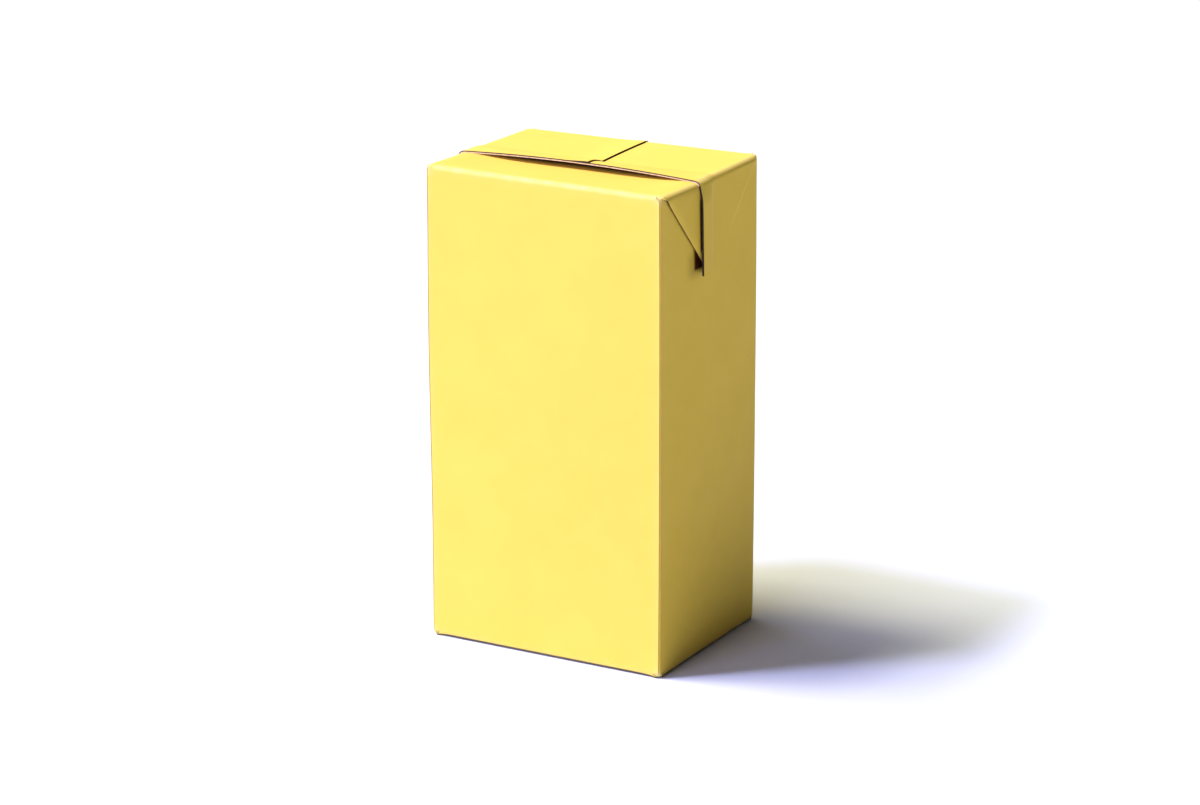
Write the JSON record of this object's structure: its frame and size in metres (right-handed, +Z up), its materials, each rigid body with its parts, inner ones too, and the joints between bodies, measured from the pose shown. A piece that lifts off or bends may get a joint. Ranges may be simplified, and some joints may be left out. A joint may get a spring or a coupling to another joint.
{
  "type": "sauce carton",
  "caption": "Shut brick-shaped carton of plain yellow coated board, with its top cross seal folded forward and its ears folded down the sides.",
  "frame": {"origin": "centre of the base, on the surface that the carton stands on", "axes": "+Z up, the carton's long way; the front panel faces -Y and the side panels face +X and -X"},
  "size_m": [0.097, 0.0719, 0.1711],
  "materials": {
    "coated_board": "satin coated paperboard, plain pale yellow"
  },
  "bodies": {
    "root": {"carton": "coated_board"}
  },
  "joints": []
}
